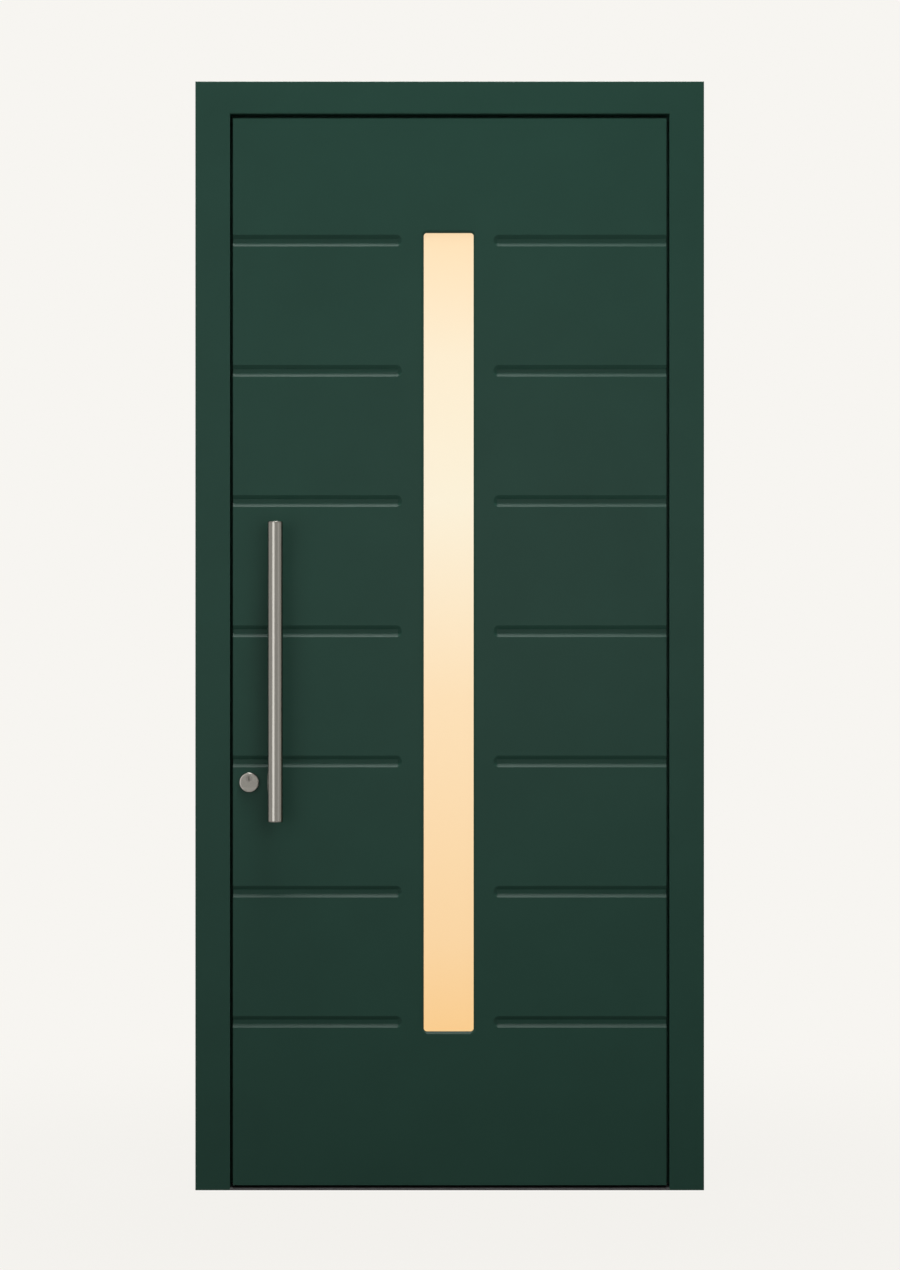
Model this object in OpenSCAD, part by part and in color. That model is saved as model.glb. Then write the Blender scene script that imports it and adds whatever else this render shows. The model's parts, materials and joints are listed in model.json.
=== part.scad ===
// Panelled front door in its frame, in millimetres.
// X runs to the right seen from outside, Y into the building, Z up.
// The origin is on the floor, at the middle of the frame's width and depth.
// The leaf is closed, hinged on the right and locked on the left.

/* [Frame] */
// Width over the frame
frame_w = 1000; // [920:1:1200]
// Height over the frame, from the floor
frame_h = 2180; // [2080:1:2400]
// Face width of a jamb, seen from outside
jamb_face = 68; // [60:1:90]
// Face height of the head, seen from outside
head_face = 64; // [56:1:90]
// Depth of the frame's outer profiles
frame_outer_depth = 35; // [32:1:45]
// Depth of the insulated space between the frame's profiles
frame_break_depth = 18; // [16:1:24]
// Depth of the frame's inner profiles
frame_inner_depth = 37; // [35:1:50]
// Wall of the aluminium profiles
profile_wall = 2; // [1.6:0.1:2.6]
// Wall that grips the insulating strips
grip_wall = 4; // [3.5:0.5:6]
// Thickness of an insulating strip
strip_t = 3; // [2:0.5:4]
// How far a strip's foot sits in the wall that grips it
strip_foot = 2; // [1:0.5:3]
// Distance of the first frame strip from the frame's outer edge
frame_strip_inset = 8; // [6:1:12]
// Distance between the two strips of a frame profile, edge to edge
frame_strip_space = 18; // [12:1:22]
// Length of a corner cleat's arms past the inner corner
cleat_arm = 60; // [40:5:90]
// Clearance of a corner cleat in its chamber
cleat_clear = 0.2; // [0.1:0.05:0.4]
// Height of the threshold
threshold_h = 5; // [4:0.5:7]
// Slant on the threshold's outer and inner edges
threshold_slant = 3; // [1:0.5:3.5]
// Width of the stop gasket
gasket_w = 12; // [8:1:14]
// Thickness of the stop gasket's foot
gasket_foot = 2; // [1.5:0.5:3]
// Air between the stop gasket and the closed leaf
gasket_clear = 0.3; // [0.1:0.1:0.6]
// Radius of the holes for the wall fixings
fixing_r = 5.5; // [4:0.5:6]
// Distance of the end wall fixings from the frame's ends
fixing_end = 150; // [120:5:200]
// Height of the lower middle wall fixings
fixing_low = 560; // [450:5:650]
// Distance of the upper middle wall fixings from the frame's top
fixing_high = 700; // [600:5:800]

/* [Leaf] */
// Joint between the leaf and a jamb, seen from outside
side_gap = 6; // [5:0.5:8]
// Joint between the leaf and the head, seen from outside
top_gap = 9; // [5:0.5:10]
// Joint between the leaf and the threshold
bottom_gap = 5; // [3:0.5:8]
// How far the leaf's flange reaches behind the frame's stop, past the leaf's face
flange_overlap = 23; // [20:1:26]
// Joint between the flange and the frame's rebate
flange_gap = 5; // [4:0.5:8]
// Space between the frame's stop and the flange
stop_gap = 5; // [4:0.5:7]
// Thickness of the outer and inner skins
skin_t = 3; // [2:0.5:4]
// Depth of the outer skin's folded edge
skin_return = 13; // [12:0.5:16]
// Width of a stile, seen from outside
stile_w = 100; // [95:1:115]
// Height of the top rail below the leaf's top
top_rail_h = 90; // [70:1:110]
// Height of the bottom rail
bottom_rail_h = 110; // [80:1:140]
// Depth of the leaf's outer profiles
leaf_outer_depth = 12; // [11:0.5:14]
// Distance of a leaf strip from its profile's edges
leaf_strip_inset = 5; // [4:0.5:8]
// Distance of the bottom seal from the flange's front
seal_setback = 8; // [6:0.5:12]
// Width of the bottom seal's foot
seal_w = 8; // [6:1:12]
// Height of the bottom seal's foot, in its groove
seal_foot = 4; // [3:0.5:6]
// Thickness of the bottom seal's lip
seal_lip = 3; // [2:0.5:4]
// Air between the bottom seal and the threshold
seal_clear = 0.3; // [0.1:0.1:0.6]

/* [Grooves] */
// Number of grooves on each side of the glass
groove_count = 7; // [3:1:9]
// From the glass's lower edge up to the lowest groove's middle
groove_low = 19; // [10:1:40]
// From the highest groove's middle up to the glass's upper edge
groove_high = 15; // [10:1:40]
// Height of a groove at the skin
groove_mouth = 23; // [18:1:30]
// Height of a groove's flat floor
groove_floor = 8; // [4:1:12]
// Depth of a groove
groove_depth = 6; // [3:0.5:7]
// Corner radius of a groove's floor, at its end
groove_corner = 1; // [0.5:0.5:3]
// From the end of a groove to the glass, on the lock side
groove_margin_lock = 43; // [38:1:60]
// From the end of a groove to the glass, on the hinge side
groove_margin_hinge = 39; // [38:1:60]

/* [Glass] */
// Width of the glass seen from outside
glass_w = 98; // [80:1:120]
// From the leaf's bottom up to the glass's lower edge
glass_low = 302; // [240:1:400]
// From the glass's upper edge up to the leaf's top
glass_high = 225; // [180:1:320]
// Place of the glass across the leaf
glass_x = -2; // [-10:1:10]
// Corner radius of the glass opening
glass_corner = 6; // [3:0.5:12]
// Width of the slanted rim around the glass opening
rim_slant = 5; // [2:0.5:8]
// Depth of the straight edge at the foot of the slanted rim
rim_edge = 0.5; // [0.3:0.1:1]
// Metal behind the slanted rim, at the back of the sheet
rim_wall = 1.5; // [1:0.1:2]
// Air between the rim and the glass or its tape
rim_clear = 0.5; // [0.3:0.1:1]
// How far the glass unit reaches behind the skin
glass_cover = 15; // [12:1:20]
// Room around the glass unit
glass_room = 3; // [2:0.5:5]
// Thickness of the outer and inner panes
pane_t = 6; // [4:0.5:6]
// Thickness of the middle pane
middle_pane_t = 4; // [3:0.5:5]
// Space between two panes
pane_space = 14; // [12:1:15]
// Width of the spacer between two panes
spacer_w = 8; // [6:0.5:10]
// Distance of the spacers from the panes' edges
spacer_inset = 2; // [1:0.5:4]
// Thickness of the glazing tape
tape_t = 2; // [1:0.5:3]
// Width of the glazing tape
tape_w = 10; // [6:0.5:11]
// Wall of the inner glazing frame
bead_t = 3; // [2:0.5:4]
// How far the inner glazing frame covers the inner skin
bead_cover = 18; // [14:1:30]
// Length of a setting block
block_l = 40; // [20:5:45]

/* [Pull bar] */
// Distance of the bar from the leaf's edge
bar_inset = 86; // [83:1:88]
// Height of the bar's middle
bar_z = 1020; // [980:1:1060]
// Length of the bar
bar_len = 586; // [560:1:640]
// Radius of the bar
bar_r = 15; // [12:0.5:16]
// Wall of the bar
bar_wall = 2; // [1.5:0.5:3]
// Thickness of the caps at the bar's ends
cap_t = 2; // [1:0.5:4]
// Distance from the leaf's face to the bar's middle
bar_reach = 58; // [50:1:65]
// Distance of a post from the bar's end
post_inset = 70; // [65:1:90]
// Radius of a post
post_r = 9; // [8:0.5:10]
// Radius of a post's stud
stud_r = 4; // [3:0.5:4]
// Thread depth of a stud in its post
stud_in_post = 14; // [10:1:16]
// Radius of a stud's nut
stud_nut_r = 7; // [6:0.5:7.5]

/* [Lock] */
// Distance of the lock's middle plane from the inside face
lock_setback = 21; // [20:0.5:23]
// Distance of the key and lever axes from the edge of the flange
backset = 55; // [50:1:60]
// Height of the key's axis
key_z = 810; // [790:1:830]
// Height of the lever's axis above the key's
lever_rise = 92; // [90:1:96]
// Width of the faceplate
faceplate_w = 24; // [22:1:24]
// Thickness of the faceplate
faceplate_t = 3; // [2:0.5:3]
// Distance of the faceplate's ends from the ends of the flange
faceplate_inset = 50; // [30:5:70]
// Depth of the hardware channel
channel_depth = 6; // [6:0.5:7]
// Clearance of the faceplate and strike plates in their channels
channel_clear = 0.2; // [0.1:0.05:0.4]
// Thickness of the lock cases
case_t = 18; // [17:0.5:19]
// Wall of the lock cases
case_wall = 1.8; // [1.5:0.1:2]
// Depth of the main lock case
case_depth = 82; // [78:1:86]
// Main lock case above the lever's axis
case_above = 58; // [50:1:70]
// Main lock case below the key's axis
case_below = 40; // [36:1:50]
// Clearance of a bolt in its windows
bolt_clear = 0.3; // [0.2:0.05:0.5]
// Thickness of the latch bolt and the deadbolt
bolt_t = 14; // [12:0.5:14]
// Height of the latch bolt
latch_h = 22; // [20:1:24]
// How far the latch bolt stands out
latch_throw = 12; // [11:0.5:12]
// How far the bolts are thrown
bolt_throw = 20; // [18:0.5:20]
// Height of the deadbolt
deadbolt_h = 26; // [20:1:28]
// Height of the deadbolt's middle above the key's axis
deadbolt_rise = 45; // [42:1:48]
// Length of a bolt behind the faceplate's front
bolt_l = 50; // [46:1:52]
// Height of an auxiliary bolt
side_bolt_h = 28; // [20:1:32]
// Height of the lower auxiliary bolt above the leaf's bottom
side_bolt_low = 340; // [280:5:400]
// Distance of the upper auxiliary bolt from the flange's top
side_bolt_high = 430; // [350:1:520]
// Height of an auxiliary bolt's case
side_case_h = 60; // [52:1:70]
// Thickness of a drive rod
rod_t = 2.5; // [2:0.1:2.5]
// Width of a drive rod
rod_w = 16; // [12:1:18]
// Side of the lever's square spindle
spindle_w = 8; // [7:0.5:8]
// Radius of the latch follower's hub
follower_r = 8; // [7.5:0.1:8]
// Length of the follower's arm, from the lever's axis
follower_arm = 16; // [15:0.5:16]
// Width of the follower's arm
follower_arm_w = 5; // [4:0.5:6]
// Play between the follower's arm and the latch's lug
lug_play = 0.8; // [0.7:0.1:1.2]
// Width of the latch's lug
lug_w = 6; // [4:0.5:8]
// Length of the latch bolt behind its lug
latch_tail = 4; // [2:0.5:6]
// Length of the latch's square tip
latch_tip = 2; // [1:0.5:4]
// Running clearance of turning pieces
turn_clear = 0.05; // [0.03:0.01:0.09]
// Thickness of a strike plate
strike_t = 3; // [2:0.5:3]
// How far a strike plate reaches past its windows
strike_margin = 30; // [24:1:40]
// Room around a bolt in the strike plates
strike_room = 1.5; // [1:0.5:2.5]

/* [Cylinder and handles] */
// Radius of the profile cylinder's round part
cylinder_r = 8.5; // [8.5:0.1:9]
// Width of the profile cylinder's flat part
cylinder_w = 10; // [9:0.5:11]
// Height of the profile cylinder
cylinder_h = 33; // [32:0.5:34]
// Clearance of the profile cylinder in its openings
cylinder_clear = 0.3; // [0.2:0.05:0.6]
// How far the cylinder stands out of the leaf's faces
cylinder_proud = 4; // [3:0.5:5]
// Radius of the key plug
plug_r = 6.5; // [6:0.1:6.8]
// How far the key plug's end lies below the outer rosette's face
plug_recess = 0.5; // [0:0.1:1]
// Radius of the cam's sweep
cam_r = 14; // [13:0.5:14.5]
// Width of the cam
cam_w = 9; // [8:0.5:10]
// Room beside the cam
cam_clear = 0.5; // [0.3:0.1:0.8]
// Width of the keyway
keyway_w = 2.5; // [1.5:0.1:2.5]
// Height of the keyway
keyway_h = 9; // [6:0.5:9]
// Depth of the keyway
keyway_depth = 14; // [10:1:20]
// Radius of the outer rosette
rosette_r = 19.5; // [18.8:0.1:24]
// Height of the outer rosette
rosette_h = 9; // [8:0.5:12]
// Rounding of the rosettes' rims
rosette_round = 2.5; // [0.5:0.5:2.5]
// Distance of the outer rosette's middle below the key's axis
rosette_drop = 8; // [7:0.5:9]
// Radius of the rosettes inside
inner_rosette_r = 26; // [24:0.5:28]
// Height of the rosettes inside
inner_rosette_h = 8; // [7:0.5:10]
// Radius of the lever's neck and grip
lever_r = 9; // [8:0.5:10]
// Distance of the lever's grip from the inside face
lever_reach = 55; // [48:1:65]
// Length of the lever's grip from its axis to its end
lever_len = 125; // [110:1:140]
// Bend of the lever
lever_bend = 18; // [14:1:24]
// Gap between the thumb turn and its rosette
turn_gap = 2; // [1:0.5:4]
// Width of the thumb turn
turn_w = 34; // [28:1:40]
// Thickness of the thumb turn
turn_t = 10; // [8:0.5:12]
// Length of the thumb turn
turn_l = 20; // [16:1:26]

/* [Hinges] */
// Distance of the hinge axis from the inside face
hinge_out = 12.5; // [12.5:0.5:15]
// Radius of a hinge's barrel
barrel_r = 11; // [10:0.5:11.5]
// Height of a hinge
hinge_h = 120; // [100:1:140]
// Height of the leaf's knuckle
leaf_knuckle_h = 50; // [40:1:60]
// Room between two knuckles
knuckle_clear = 0.3; // [0.1:0.1:0.6]
// Radius of the hinge pins
pin_r = 5; // [4:0.5:5.5]
// Wall of the hinge bushes
bush_wall = 2; // [1.5:0.5:3]
// Thickness of the hinge wings
wing_t = 5; // [4.5:0.5:5.5]
// Reach of a hinge wing from the hinge axis
wing_reach = 42; // [36:1:42]
// Corner radius of a hinge wing
wing_corner = 4; // [2:0.5:6]
// Room around the other wing's barrel
barrel_room = 1; // [0.5:0.5:2]
// Height of a hinge pin's head
pin_head_h = 3; // [2:0.5:6]
// Distance of the lowest hinge's middle from the leaf's bottom
hinge_low = 220; // [160:5:300]
// Distance of the highest hinge's middle from the flange's top
hinge_high = 240; // [160:1:300]

/* [Screws] */
// Radius of the screws' shanks
screw_r = 2.4; // [2:0.1:2.5]
// Radius of the screws' heads
screw_head_r = 4.6; // [4:0.1:4.8]
// Height of the screws' heads
screw_head_h = 2.2; // [1.8:0.1:2.5]
// Length of the hinge screws
hinge_screw_l = 16; // [14:1:20]
// Length of the plate screws
plate_screw_l = 12; // [10:1:14]
// Metal between a screw's head and what is next to it
screw_land = 2; // [1:0.5:4]
// Clearance around a screw
screw_clear = 0.05; // [0.03:0.01:0.1]

/* [Hidden] */
$fn = 48;
// Overshoot of a cut past the face it opens
over = 1;

// Planes across the depth, from outside to inside
frame_depth = frame_outer_depth + frame_break_depth + frame_inner_depth;
face_y = -frame_depth / 2;
inside_y = frame_depth / 2;
stop_y = face_y + frame_outer_depth;
frame_inner_y = stop_y + frame_break_depth;
tray_y = face_y + skin_return;
leaf_outer_back_y = tray_y + leaf_outer_depth;
flange_y = stop_y + stop_gap;
inner_skin_y = inside_y - skin_t;
skin_back_y = face_y + skin_t;
lock_y = inside_y - lock_setback;

// Places across the width and height
half_w = frame_w / 2;
leaf_half = half_w - jamb_face - side_gap;
flange_half = leaf_half + flange_overlap;
rebate_half = flange_half + flange_gap;
stile_half = leaf_half - stile_w;
leaf_bottom = threshold_h + bottom_gap;
leaf_top = frame_h - head_face - top_gap;
flange_top = leaf_top + flange_overlap;
rebate_top = flange_top + flange_gap;
jamb_inner_w = half_w - rebate_half;
head_inner_h = frame_h - rebate_top;
channel_w = faceplate_w + 2 * channel_clear;
strip_insets = [frame_strip_inset, frame_strip_inset + strip_t + frame_strip_space];
fixing_z = [fixing_end, fixing_low, frame_h - fixing_high, frame_h - fixing_end];
seal_y = flange_y + seal_setback;

// Glass and grooves
glass_bottom = leaf_bottom + glass_low;
glass_h = leaf_top - glass_high - glass_bottom;
groove_first_z = glass_bottom + groove_low;
groove_pitch = (glass_h - groove_low - groove_high) / (groove_count - 1);
glass_z = glass_bottom + glass_h / 2;
unit_w = glass_w + 2 * glass_cover;
unit_h = glass_h + 2 * glass_cover;
pane_y = skin_back_y + tape_t;
middle_pane_y = pane_y + pane_t + pane_space;
inner_pane_y = middle_pane_y + middle_pane_t + pane_space;
unit_back_y = inner_pane_y + pane_t;
bead_y = unit_back_y + tape_t;
rim_end_y = pane_y - rim_clear;
rim_y = rim_end_y - rim_edge;
rim_depth = rim_y - face_y;
rim_lip = rim_slant * (rim_y - skin_back_y) / rim_depth + rim_wall;
tape_inner = rim_lip + rim_clear;

// Pull bar
bar_x = -leaf_half + bar_inset;
bar_y = face_y - bar_reach;
tube_len = bar_len - 2 * cap_t;
post_places = [bar_z - bar_len / 2 + post_inset, bar_z + bar_len / 2 - post_inset];

// Lock
axis_x = -flange_half + backset;
lever_z = key_z + lever_rise;
edge_x = -flange_half;
case_x = edge_x + faceplate_t;
case_low = key_z - case_below;
case_high = lever_z + case_above;
latch_z = lever_z + follower_arm + bolt_clear * 2 + latch_h / 2;
deadbolt_z = key_z + deadbolt_rise;
side_case_depth = bolt_l + 2 * case_wall;
side_bolt_z = [leaf_bottom + side_bolt_low, flange_top - side_bolt_high];
plate_screw_gap = 2 * screw_head_r + screw_land;
faceplate_low = leaf_bottom + faceplate_inset;
faceplate_high = flange_top - faceplate_inset;
faceplate_screw_z = concat(
    [faceplate_low + plate_screw_gap, faceplate_high - plate_screw_gap],
    [case_low - plate_screw_gap, case_high + plate_screw_gap],
    [for (z = side_bolt_z, s = [-1, 1]) z + s * (side_case_h / 2 + plate_screw_gap)]
);
rod_spans = [
    [side_bolt_z[0] + side_case_h / 2 + 2 * plate_screw_gap, case_low - 2 * plate_screw_gap - bolt_throw],
    [case_high + 2 * plate_screw_gap, side_bolt_z[1] - side_case_h / 2 - 2 * plate_screw_gap - bolt_throw]
];
strike_x = -rebate_half - strike_t;
main_strike_low = deadbolt_z - deadbolt_h / 2 - strike_margin;
main_strike_high = latch_z + latch_h / 2 + strike_margin;
strike_screw_z = concat(
    [main_strike_low + strike_margin / 2, main_strike_high - strike_margin / 2],
    [for (z = side_bolt_z, s = [-1, 1]) z + s * (side_bolt_h + strike_margin) / 2]
);
plug_front_y = face_y - rosette_h + plug_recess;
plug_back_y = inside_y + inner_rosette_h + turn_gap;

// Hinges
hinge_x = flange_half + flange_gap / 2;
hinge_y = inside_y + hinge_out;
hinge_low_z = leaf_bottom + hinge_low;
hinge_high_z = flange_top - hinge_high;
hinge_places = [hinge_low_z, (hinge_low_z + hinge_high_z) / 2, hinge_high_z];
barrel_keep_out = barrel_r + barrel_room;
wing_plate_w = wing_reach - barrel_keep_out;
wing_screw_x = barrel_keep_out + wing_plate_w / 2;
wing_screw_z = [for (k = [-1.5, -0.5, 0.5, 1.5]) k * hinge_h / 4];

green = "#2c463c";
metal = "#b9b6ae";
steel = "#9a9a98";
black = "#1b1c1d";
grey = "#4a4b4c";
glow = "#fde6c0";
foam = "#d8cfae";
brass = "#b59b5a";

// A box from its low corner to its high corner
module block(low, high) {
    translate(low) cube(high - low);
}

// A rectangle about the origin with round corners
module round_rect(w, h, r) {
    square([w - 2 * r, h], center = true);
    square([w, h - 2 * r], center = true);
    for (x = [-1, 1], y = [-1, 1]) {
        translate([x * (w / 2 - r), y * (h / 2 - r)]) circle(r);
    }
}

// A flat outline drawn in X and Z, given depth along Y from near to far
module through(near, far) {
    translate([0, far, 0]) rotate([90, 0, 0]) linear_extrude(far - near) children();
}

// An outline drawn as radius and height, turned about an axis along Y
module turned(x, y, z, inward) {
    translate([x, y, z]) rotate([inward ? -90 : 90, 0, 0]) rotate_extrude() children();
}

// A round bar or bore along Y
module bar_along_y(x, z, near, far, r) {
    translate([x, near, z]) rotate([-90, 0, 0]) cylinder(h = far - near, r = r);
}

// A round bar or bore along X
module bar_along_x(y, z, near, far, r) {
    translate([near, y, z]) rotate([0, 90, 0]) cylinder(h = far - near, r = r);
}

// The glass opening, widened on every side
module glass_outline(wider, r) {
    translate([glass_x, glass_z]) round_rect(glass_w + 2 * wider, glass_h + 2 * wider, r);
}

// A square ring around the glass, from one widening to another
module glass_ring(inner, outer, near, far) {
    through(near, far) difference() {
        glass_outline(outer, glass_corner);
        glass_outline(inner, glass_corner);
    }
}

// A countersunk screw along +Z with its head's top at the origin
module screw(length, clear) {
    translate([0, 0, -screw_head_h]) {
        cylinder(h = screw_head_h, r1 = screw_r + clear, r2 = screw_head_r + clear);
    }
    translate([0, 0, -length]) cylinder(h = length, r = screw_r + clear);
}

// Places of the screws, with the head towards the inside of the building
module wing_screws(side, clear) {
    for (z = hinge_places, k = wing_screw_z) {
        translate([hinge_x + side * wing_screw_x, inside_y + wing_t, z + k]) {
            rotate([-90, 0, 0]) screw(hinge_screw_l, clear);
        }
    }
}

// Screws of the faceplate, with the head in the leaf's edge
module faceplate_screws(clear) {
    for (z = faceplate_screw_z) {
        translate([edge_x, lock_y, z]) rotate([0, -90, 0]) screw(plate_screw_l, clear);
    }
}

// Screws of the strike plates, with the head in the rebate
module strike_screws(clear) {
    for (z = strike_screw_z) {
        translate([-rebate_half, lock_y, z]) rotate([0, 90, 0]) screw(plate_screw_l, clear);
    }
}

// Frame: the part of a profile that belongs to the jambs or to the head, cut on the mitre
module mitre_jamb(face, head, near, far) {
    through(near, far) polygon([
        [half_w, 0],
        [half_w, frame_h],
        [half_w - face, frame_h - head],
        [half_w - face, 0]
    ]);
}

module mitre_head(face, head, near, far) {
    through(near, far) polygon([
        [-half_w, frame_h],
        [half_w, frame_h],
        [half_w - face, frame_h - head],
        [face - half_w, frame_h - head]
    ]);
}

// Strips that hold the frame's outer and inner profiles apart, with their feet
module frame_strips() {
    for (u = strip_insets) {
        through(stop_y - strip_foot, frame_inner_y + strip_foot) difference() {
            translate([u - half_w, 0]) square([frame_w - 2 * u, frame_h - u]);
            translate([u + strip_t - half_w, -over]) {
                square([frame_w - 2 * (u + strip_t), frame_h - u - strip_t + over]);
            }
        }
    }
}

// A jamb's outer profile on the hinge side, a hollow box
module jamb_outer() {
    difference() {
        mitre_jamb(jamb_face, head_face, face_y, stop_y);
        block([half_w - jamb_face + profile_wall, face_y + profile_wall, -over],
              [half_w - profile_wall, stop_y - grip_wall, frame_h + over]);
        frame_strips();
    }
}

// A jamb's inner profile on the hinge side, with the hardware channel and the fixing holes
module jamb_inner() {
    difference() {
        mitre_jamb(jamb_inner_w, head_inner_h, frame_inner_y, inside_y);
        block([rebate_half + strike_t + profile_wall, frame_inner_y + grip_wall, -over],
              [half_w - profile_wall, inside_y - profile_wall, frame_h + over]);
        block([rebate_half - over, lock_y - channel_w / 2, -over],
              [rebate_half + strike_t, lock_y + channel_w / 2, frame_h - head_inner_h]);
        frame_strips();
        for (z = fixing_z) {
            bar_along_x(lock_y, z, rebate_half, half_w + over, fixing_r);
        }
    }
}

module lock_jamb_outer() {
    color(green) mirror([1, 0, 0]) jamb_outer();
}

module lock_jamb_inner() {
    color(green) difference() {
        mirror([1, 0, 0]) jamb_inner();
        bolt_ways(strike_x - profile_wall - over, -rebate_half, strike_room);
        strike_screws(screw_clear);
    }
}

module hinge_jamb_outer() {
    color(green) jamb_outer();
}

module hinge_jamb_inner() {
    color(green) difference() {
        jamb_inner();
        wing_screws(1, screw_clear);
    }
}

module head_outer() {
    color(green) difference() {
        mitre_head(jamb_face, head_face, face_y, stop_y);
        block([-half_w - over, face_y + profile_wall, frame_h - head_face + profile_wall],
              [half_w + over, stop_y - grip_wall, frame_h - profile_wall]);
        frame_strips();
    }
}

module head_inner() {
    color(green) difference() {
        mitre_head(jamb_inner_w, head_inner_h, frame_inner_y, inside_y);
        block([-half_w - over, frame_inner_y + grip_wall, rebate_top + profile_wall],
              [half_w + over, inside_y - profile_wall, frame_h - profile_wall]);
        frame_strips();
    }
}

module frame_insulating_strips() {
    color(black) frame_strips();
}

// One corner cleat: an angle that fills the chambers of a jamb and the head
module corner_cleat(low_x, low_z, near, far) {
    high = [half_w - profile_wall - cleat_clear, far - cleat_clear, frame_h - profile_wall - cleat_clear];
    near_y = near + cleat_clear;
    block([low_x + cleat_clear, near_y, low_z - cleat_arm], high);
    block([low_x - cleat_arm, near_y, low_z + cleat_clear], high);
}

module frame_corner_cleats() {
    color(metal) for (side = [0, 1]) {
        mirror([side, 0, 0]) {
            corner_cleat(half_w - jamb_face + profile_wall, frame_h - head_face + profile_wall,
                         face_y + profile_wall, stop_y - grip_wall);
            corner_cleat(rebate_half + strike_t + profile_wall, rebate_top + strike_t + profile_wall,
                         frame_inner_y + grip_wall, inside_y - profile_wall);
        }
    }
}

// Section of the stop gasket: a flat foot on the stop and a round bulb towards the leaf
module gasket_section() {
    bulb = (stop_gap - gasket_clear) / 2;
    translate([-gasket_w / 2, 0]) square([gasket_w, gasket_foot]);
    translate([0, bulb]) circle(bulb);
}

// The gasket runs up both jambs and across the head, in the middle of the stop
module stop_gasket() {
    stop_x = (rebate_half + half_w - jamb_face) / 2;
    stop_z = (rebate_top + frame_h - head_face) / 2;
    color(black) {
        for (side = [-1, 1]) {
            translate([side * stop_x, stop_y, threshold_h]) {
                linear_extrude(stop_z - threshold_h + gasket_w / 2) gasket_section();
            }
        }
        translate([-stop_x, stop_y, stop_z]) rotate([0, 90, 0]) {
            linear_extrude(2 * stop_x) gasket_section();
        }
    }
}

// A length of the threshold with one slanted edge, about the middle of the width
module threshold_bar(half, edge, inner) {
    inward = sign(inner - edge);
    translate([-half, 0, 0]) rotate([90, 0, 90]) linear_extrude(2 * half) polygon([
        [edge, 0],
        [edge, threshold_h - threshold_slant],
        [edge + inward * threshold_slant, threshold_h],
        [inner, threshold_h],
        [inner, 0]
    ]);
}

// The threshold lies between the outer jambs and reaches into the rebates behind the stop
module threshold() {
    color(grey) {
        threshold_bar(half_w - jamb_face, face_y, stop_y);
        threshold_bar(rebate_half, inside_y, stop_y);
    }
}

// Ways of all bolts between two places across the width, widened all round
module bolt_ways(near, far, wider) {
    bolts = [
        [latch_z, latch_h],
        [deadbolt_z, deadbolt_h],
        [side_bolt_z[0], side_bolt_h],
        [side_bolt_z[1], side_bolt_h]
    ];
    for (b = bolts) {
        block([near, lock_y - bolt_t / 2 - wider, b[0] - b[1] / 2 - wider],
              [far, lock_y + bolt_t / 2 + wider, b[0] + b[1] / 2 + wider]);
    }
}

// A strike plate in the rebate's channel, with a window for each bolt
module strike_plate(low, high) {
    difference() {
        block([strike_x, lock_y - faceplate_w / 2, low], [-rebate_half, lock_y + faceplate_w / 2, high]);
        bolt_ways(strike_x - over, over - rebate_half, strike_room);
        strike_screws(screw_clear);
    }
}

module main_strike_plate() {
    color(metal) strike_plate(main_strike_low, main_strike_high);
}

module auxiliary_strike_plates() {
    reach = side_bolt_h / 2 + strike_margin;
    color(metal) for (z = side_bolt_z) {
        strike_plate(z - reach, z + reach);
    }
}

// A wing of a hinge: the plate, the tongues to its knuckles and the knuckles, about the hinge axis
module wing(side, knuckles, bore) {
    difference() {
        union() {
            translate([side * (barrel_keep_out + wing_plate_w / 2), 0, 0]) {
                through(-hinge_out, wing_t - hinge_out) round_rect(wing_plate_w, hinge_h, wing_corner);
            }
            for (k = knuckles) {
                tongue = side * (barrel_keep_out + wing_corner);
                block([min(0, tongue), -hinge_out, k[0]], [max(0, tongue), wing_t - hinge_out, k[1]]);
                translate([0, 0, k[0]]) cylinder(h = k[1] - k[0], r = barrel_r);
            }
        }
        translate([0, 0, -hinge_h]) cylinder(h = 2 * hinge_h, r = bore);
    }
}

module hinge_frame_wings() {
    inner = leaf_knuckle_h / 2 + knuckle_clear;
    color(steel) difference() {
        for (z = hinge_places) {
            translate([hinge_x, hinge_y, z]) {
                wing(1, [[-hinge_h / 2, -inner], [inner, hinge_h / 2]], pin_r + turn_clear);
            }
        }
        wing_screws(1, screw_clear);
    }
}

module hinge_leaf_wings() {
    color(steel) difference() {
        for (z = hinge_places) {
            translate([hinge_x, hinge_y, z]) {
                wing(-1, [[-leaf_knuckle_h / 2, leaf_knuckle_h / 2]], pin_r + bush_wall + 2 * turn_clear);
            }
        }
        wing_screws(-1, screw_clear);
    }
}

module hinge_pins() {
    color(metal) for (z = hinge_places) {
        translate([hinge_x, hinge_y, z - hinge_h / 2]) {
            cylinder(h = hinge_h, r = pin_r);
            translate([0, 0, hinge_h]) cylinder(h = pin_head_h, r = barrel_r - barrel_room);
        }
    }
}

module frame_screws() {
    color(metal) {
        wing_screws(1, 0);
        strike_screws(0);
    }
}

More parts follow.
